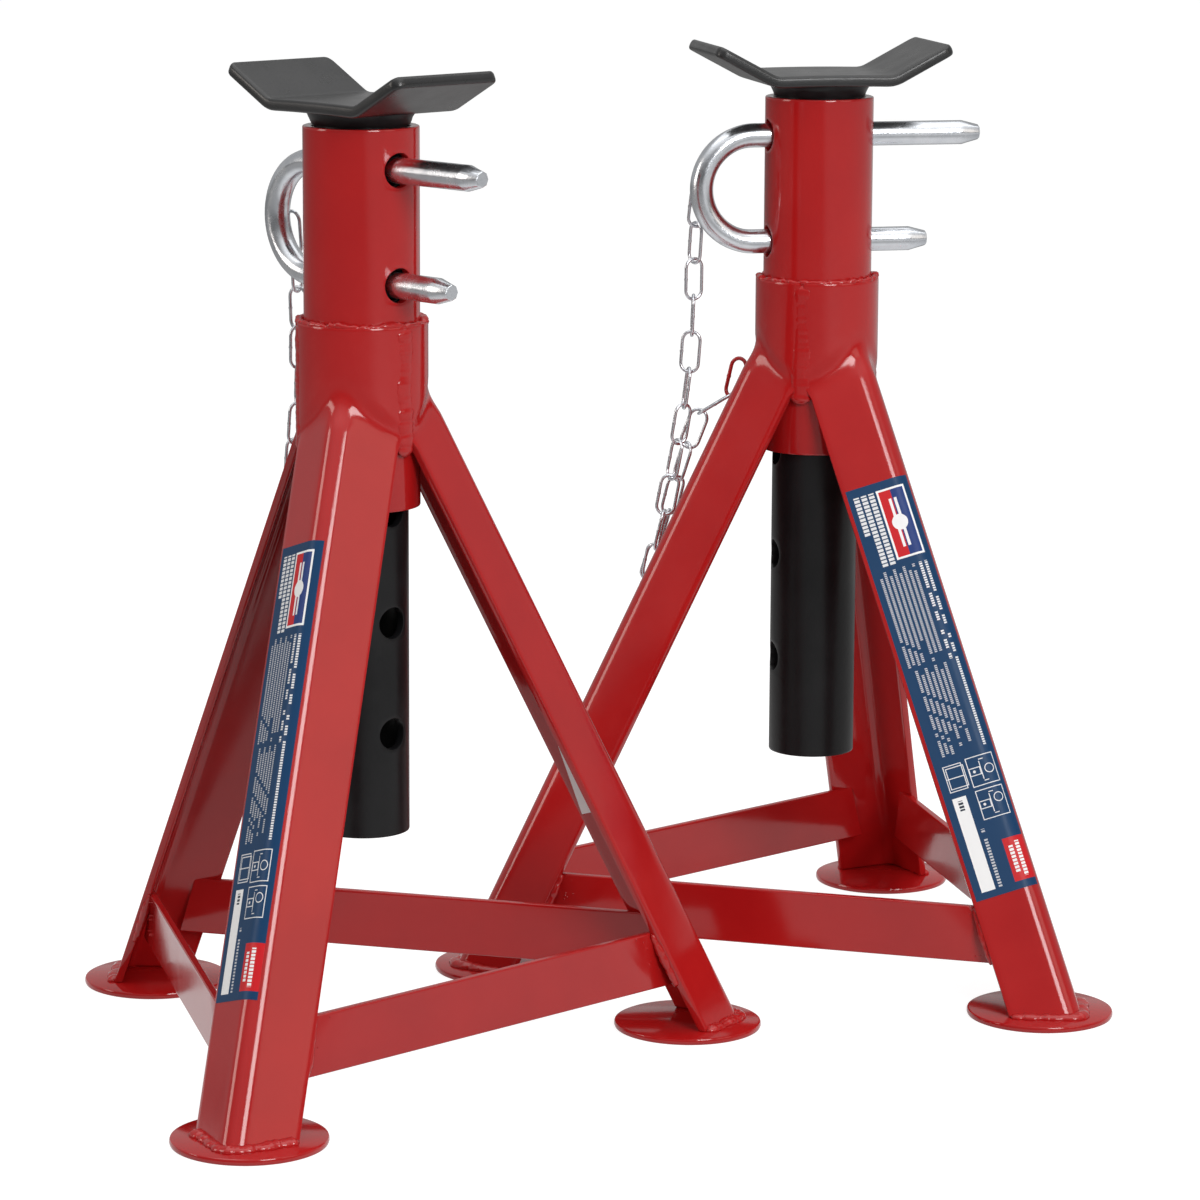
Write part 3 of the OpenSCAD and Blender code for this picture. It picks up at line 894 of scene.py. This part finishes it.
def saddle_shape():
    """The bent plate, as rounded sections across it from one tip to the other."""
    rings = []
    for s, x, z, slope in saddle_profile():
        over = max(abs(s) - (SADDLE_REACH - SADDLE_CORNER), 0.0)
        half = SADDLE_LEN / 2 - (SADDLE_CORNER - math.sqrt(max(SADDLE_CORNER**2 - over**2, 0.0)))
        near_tip = max(SADDLE_EDGE - (SADDLE_REACH - abs(s)), 0.0)
        thinner = SADDLE_EDGE - math.sqrt(max(SADDLE_EDGE**2 - near_tip**2, 0.0))
        thick = SADDLE_T / 2 - thinner
        ring = []
        for y, up in rounded_outline(half, thick, min(SADDLE_EDGE, thick - 0.01), 5):
            depth = SADDLE_T / 2 - up
            ring.append((x + depth * math.sin(slope), y, z - depth * math.cos(slope)))
        rings.append(ring)
    return loft(rings)


def neck_shape(seed):
    """The flared weld under the saddle, from just above the sleeve. Its outside is a little
    uneven, and its two inner corners are inside the post's wall."""
    low, inner = SLEEVE_TOP + 0.4, POST_R - 0.3
    flare = [(0.9, 0.0), (1.35, 1.2), (2.0, 2.6), (2.75, 4.0), (3.1, POST_TOP - low)]
    profile = [(inner, low)] + [(POST_R + out, low + up) for out, up in flare] + [(inner, POST_TOP)]

    def uneven(a, i):
        on_outside = 0 < i < len(profile) - 1
        return 0.16 * wavy(math.cos(a) * 3, seed + i, 1.0) if on_outside else 0.0

    return lathe(profile, 120, uneven)


def pin_shape(lower_tip):
    """The bent bar, from the upper tip round the bend to the lower tip. Its tips are swaged to
    eight flat sides, and its bend is drawn a little thin."""
    lower_z, bend_r, sides, bend_steps = HOLE_TOP_Z - HOLE_PITCH, HOLE_PITCH / 2, 32, 36
    tip = [(0.0, 2.7), (0.2, 2.95), (0.7, 3.1), (PIN_TAPER, PIN_R), (PIN_TAPER + 1.5, PIN_R)]
    path = [(PIN_UPPER - back, 0, HOLE_TOP_Z) for back, _ in tip]
    path += [(x, 0, HOLE_TOP_Z) for x in np.linspace(PIN_UPPER - PIN_TAPER - 6, -BEND_START + 2, 12)]
    for i in range(bend_steps + 1):
        a = math.pi / 2 + math.pi * i / bend_steps
        path.append((-BEND_START + bend_r * math.cos(a), 0, lower_z + bend_r + bend_r * math.sin(a)))
    path += [(x, 0, lower_z) for x in np.linspace(-BEND_START + 2, lower_tip - PIN_TAPER - 6, 10)]
    radii = [(r, r) for _, r in tip]
    for x, _, _ in path[len(tip) :]:
        bent = smooth01((-BEND_START - x) / 8)
        radii.append((PIN_R * (1 - 0.045 * bent), PIN_R * (1 + 0.02 * bent)))
    path += [(lower_tip - back, 0, lower_z) for back, _ in reversed(tip)]
    radii += [(r, r) for _, r in reversed(tip)]

    points, faces = sweep(path, radii, sides=sides, up=(0, 1, 0))
    rings = np.asarray(points, float).reshape(len(path), sides, 3)
    eighth = math.pi / 4
    faceted = [k for k, (back, _) in enumerate(tip) if back < PIN_TAPER]
    for i in faceted + [len(path) - 1 - k for k in faceted]:
        for k in range(sides):
            a = 2 * math.pi * k / sides
            to_flat = math.cos(eighth / 2) / math.cos(a % eighth - eighth / 2)
            rings[i, k] = np.array(path[i]) + (rings[i, k] - np.array(path[i])) * to_flat
    return rings.reshape(-1, 3), faces


def link_shape(p, q, roll_deg, wire_r):
    """An oval link from p to q, as part.scad lays it: its long axis on the line between them.
    One of its straight sides has the bump of its weld."""
    turn_r, straight, turn_steps = LINK_W / 2 - wire_r, LINK_LEN - LINK_W, 10
    flat = []
    for end in (1, -1):
        for i in range(turn_steps + 1):
            a = -math.pi / 2 + math.pi * i / turn_steps
            flat.append((end * (straight / 2 + turn_r * math.cos(a)), end * turn_r * math.sin(a), 0))
        for t in (0.25, 0.42, 0.5, 0.58, 0.75):
            flat.append((end * straight * (0.5 - t), end * turn_r, 0))
    p, q = Vector(p), Vector(q)
    down = Vector((0, 0, -1))
    d = q - p
    lean = Matrix.Rotation(math.acos(-d.z / d.length), 3, down.cross(d))
    m = lean @ Matrix.Rotation(math.radians(roll_deg), 3, "Z") @ Matrix.Rotation(math.pi / 2, 3, "Y")
    middle = (p + q) / 2
    path = [tuple(m @ Vector(v) + middle) for v in flat]
    weld = len(flat) // 2 - 3
    radii = [wire_r * (1.22 if i == weld else 1.0) for i in range(len(flat))]
    return sweep(path, radii, sides=8, closed=True, up=tuple(m @ Vector((0, 0, 1))))


# The chain's route, with a point where each link meets the next. Both runs end at its lowest.
CHAIN_LOW = (-62.2, 19, 152.2)
PIN_RUN = [
    (-46, 6.4, 308.9), (-47, 8.4, 294.6), (-47.5, 9.8, 280.2), (-47.5, 10.3, 265.8), (-48, 10.5, 251.3),
    (-49, 10.7, 236.8), (-50.8, 11, 222.4), (-53, 11.5, 208.1), (-55.5, 12.3, 193.9), (-58, 13.2, 179.7),
    (-61, 14.3, 165.6), CHAIN_LOW,
]
ANCHOR_RUN = [
    (-30.5, 14.7, 226.1), (-42.2, 18.5, 218.5), (-46.8, 20.1, 205.5), (-50.5, 22.8, 191.5),
    (-53.2, 25.3, 177.9), (-57, 27.2, 163.9), (-60.3, 31, 150.4), CHAIN_LOW,
]
PIN_ROLLS = [90, 23, 106, 168, 65, 176, 112, 19, 81, 155, 51]
ANCHOR_ROLLS = [158, 67, 16, 103, 155, 93, 40]
ANCHOR_TOP, ANCHOR_LINK_LOW, ANCHOR_ROLL, ANCHOR_WIRE_R = (-26.5, 15.5, 241), (-30.6, 15, 224), 44, 0.8
ANCHOR_WELD = (-25.6, 12.3, 232.5)


def chain_shape(run, rolls):
    """Links from point to point of a run, each with its own roll in degrees."""
    return joined([link_shape(run[i], run[i + 1], rolls[i], WIRE_R) for i in range(len(rolls))])


def anchor_shape(seed):
    """The painted link on the leg, with the blobs of its weld."""
    shapes = [link_shape(ANCHOR_TOP, ANCHOR_LINK_LOW, ANCHOR_ROLL, ANCHOR_WIRE_R)]
    rng = random.Random(seed)
    for i in range(5):
        at = [c + rng.uniform(-1.0, 1.0) for c in ANCHOR_WELD]
        shapes.append(lump(at, 1.5 + 0.3 * rng.random(), seed + i))
    return joined(shapes)


# ---- building a stand ----


def add_frame_pieces(stand):
    seed = stand.seed

    def add(name, shape, replaces, **finish):
        piece(stand, name, shape, RED, "red_paint", "frame", [replaces], **finish)

    holes = [HOLE_TOP_Z, HOLE_TOP_Z - HOLE_PITCH]
    sleeve = pierced_tube(SLEEVE_R, SLEEVE_WALL, SLEEVE_BOTTOM, SLEEVE_TOP, SLEEVE_HOLE_R, holes, 8)
    add("outer_tube", sleeve, "sleeve")
    for k in range(3):
        leg = turned(leg_shape(), LEG_AZIMUTH[k])
        add(f"pressed_leg_{k + 1}", leg, f"leg_{k + 1}", bevel=0.45)
        add(f"flat_brace_{k + 1}", brace_shape(k), f"brace_{k + 1}")
        add(f"round_foot_{k + 1}", foot_shape(LEG_AZIMUTH[k]), f"foot_{k + 1}")
    seams = [seam_bead(a, seed + i, SEAM_RISE[stand.side]) for i, a in enumerate(BRACE_AZIMUTH)]
    laps = [brace_beads(k, seed + 5 * k) for k in range(3)]
    feet = [foot_bead(a, seed + 40 + i) for i, a in enumerate(LEG_AZIMUTH)]
    add("collar_bead", collar_bead(seed), "collar_weld", sharp_deg=80)
    add("seam_beads", joined(seams), "collar_seams", sharp_deg=80)
    add("brace_beads", joined(laps), "brace_welds", sharp_deg=80)
    add("foot_beads", joined(feet), "foot_welds", sharp_deg=80)
    add("chain_anchor", anchor_shape(seed), "anchor_link", sharp_deg=80)


def add_label(stand):
    """The label, and on the left stand the sticker with it. print_place says which part of the
    print each point of the film carries."""
    shape, places = label_shape()
    if stand.side == "left":
        sticker, sticker_places = sticker_shape()
        shape, places = joined([shape, sticker]), places + sticker_places
    mesh = bpy.data.meshes.new(f"{stand.side}_film_label")
    mesh.from_pydata([tuple(p) for p in stand.place(shape[0])], [], shape[1])
    place = mesh.attributes.new("print_place", "FLOAT_VECTOR", "POINT")
    place.data.foreach_set("vector", np.array(places, np.float32).ravel())
    finish_mesh(mesh)
    mesh.materials.append(LABEL)
    label = bpy.data.objects.new(f"{stand.side}_film_label", mesh)
    bpy.context.scene.collection.objects.link(label)
    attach(label, f"{stand.side}_frame")
    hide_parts(f"{stand.side}_label")


def add_moving_pieces(stand):
    holes = [HOLE_TOP_Z - HOLE_PITCH * i for i in range(POST_HOLES)]
    post = pierced_tube(POST_R, POST_WALL, POST_BOTTOM, POST_TOP, POST_HOLE_R, holes, 10)
    neck, saddle = neck_shape(stand.seed), saddle_shape()
    piece(stand, "inner_post", post, BLACK, "black_paint", "lift", ["post"])
    piece(stand, "neck_bead", neck, BLACK, "black_paint", "lift", ["neck"], sharp_deg=60)
    piece(stand, "bent_saddle", saddle, SADDLE_BLACK, "black_paint", "lift", ["saddle"], sharp_deg=60)
    pin = pin_shape(PIN_LOWER[stand.side])
    piece(stand, "bent_pin", pin, PIN_ZINC, "pin_zinc", "lock", ["pin", "pin_core"], sharp_deg=24)


def add_chain(stand, name, run, rolls, node):
    """One run of the chain. It rides on no body, and its transform is baked into its mesh."""
    chain = piece(stand, name, chain_shape(run, rolls), CHAIN_ZINC, "chain_zinc", None, [node], sharp_deg=80)
    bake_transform(chain)


for side in ("left", "right"):
    stand = Stand(side)
    add_frame_pieces(stand)
    add_label(stand)
    add_moving_pieces(stand)
    add_chain(stand, "chain_from_pin", PIN_RUN, PIN_ROLLS, "chain")
    add_chain(stand, "chain_from_anchor", ANCHOR_RUN, ANCHOR_ROLLS, "chain_tail")

# ---- floor and light, in metres ----

FLOOR_HALF, MID_HEIGHT = 30.0, (0, 0, 0.18)
FLOOR_GLOW = 0.90  # to the camera
NEAR_FLOOR_GLOSS, FAR_FLOOR_GLOSS, RIGHT_FLOOR_GLOSS = 0.60, 0.10, 0.35
MATT_LIGHT, BACK_GLOSS = 0.36, 0.45
FRONT_GLOSS = [(0.15, 0.14), (0.45, 0.35), (0.8, 1.3)]  # strength by how far up the ray points


def add_floor():
    """A white floor. In gloss it shows bright round the stands, dimmer further off, and brighter
    again far to the right."""
    n = Nodes("pale_floor")
    gloss_ray = n.add("ShaderNodeLightPath").outputs["Is Glossy Ray"]
    distance = n.add("ShaderNodeVectorMath", {0: n.place}, operation="LENGTH").outputs["Value"]
    near = n.spread(distance, NEAR_FLOOR_GLOSS, FAR_FLOOR_GLOSS, 0.30, 0.55)
    x = n.add("ShaderNodeSeparateXYZ", {"Vector": n.place}).outputs["X"]
    near = n.math("ADD", near, n.spread(x, 0.0, RIGHT_FLOOR_GLOSS, 0.4, 1.0))
    glow = n.choose(gloss_ray, FLOOR_GLOW, near)
    n.shade(Base_Color=(0.30, 0.30, 0.30, 1), Roughness=1.0, Specular_IOR_Level=0.0)
    n.shade(Emission_Color=(1, 1, 1, 1), Emission_Strength=glow)
    corners = [(x * FLOOR_HALF, y * FLOOR_HALF, 0) for x, y in ((-1, -1), (1, -1), (1, 1), (-1, 1))]
    floor = bpy.data.objects.new("floor", bpy.data.meshes.new("floor"))
    floor.data.from_pydata(corners, [], [(0, 1, 2, 3)])
    floor.data.materials.append(n.owner)
    floor.visible_diffuse = False
    bpy.context.scene.collection.objects.link(floor)


def add_area(name, at, aim, size, power, seen_in_gloss=True, color=(1, 1, 1)):
    """A soft box of power watts, aimed at a point. The camera itself never sees it."""
    data = bpy.data.lights.new(name, "AREA")
    data.color = color
    data.shape, data.size, data.size_y = "RECTANGLE", size[0], size[1]
    data.energy = power
    light = bpy.data.objects.new(name, data)
    light.location = at
    light.rotation_euler = (Vector(aim) - Vector(at)).to_track_quat("-Z", "Y").to_euler()
    light.visible_glossy = seen_in_gloss
    light.visible_camera = False
    bpy.context.scene.collection.objects.link(light)


def add_world():
    """White where the camera looks, an even light on matt surfaces, and in gloss a dim front with
    a brighter sky and back."""
    n = Nodes("studio", bpy.data.worlds, "Generated")
    way = n.add("ShaderNodeSeparateXYZ", {"Vector": n.place}).outputs
    (up, front), *stops = FRONT_GLOSS
    strength = front
    for next_up, next_strength in stops:
        rise = n.spread(way["Z"], 0.0, next_strength - strength, up, next_up)
        front, up, strength = n.math("ADD", front, rise), next_up, next_strength
    backward = n.spread(way["Y"], 0.0, 1.0, -0.25, 0.25)
    ray = n.add("ShaderNodeLightPath").outputs
    off_camera = n.choose(ray["Is Glossy Ray"], MATT_LIGHT, n.choose(backward, front, BACK_GLOSS))
    background = n.tree.nodes["Background"].inputs
    n.put(background["Strength"], n.choose(ray["Is Camera Ray"], off_camera, 1.0))
    n.put(background["Color"], (1, 1, 1, 1))
    bpy.context.scene.world = n.owner


add_floor()
add_world()
add_area("overhead", (0.1, 0.2, 1.9), (0, 0, 0.1), (2.4, 2.0), 16)
add_area("front_fill", (-0.5, -2.2, 1.0), (0, 0, 0.2), (1.6, 1.2), 1.5, seen_in_gloss=False)
add_area("key_box", (0.85, -1.75, 1.05), MID_HEIGHT, (0.75, 0.9), 22)
add_area("right_box", (1.7, -1.05, 0.95), MID_HEIGHT, (0.9, 0.9), 2.8, color=(1, 0.9, 0.8))
add_area("left_box", (-1.9, -0.34, 0.8), MID_HEIGHT, (0.6, 0.9), 7.5, color=(1, 0.92, 0.85))
bpy.context.scene.view_settings.view_transform = "Standard"
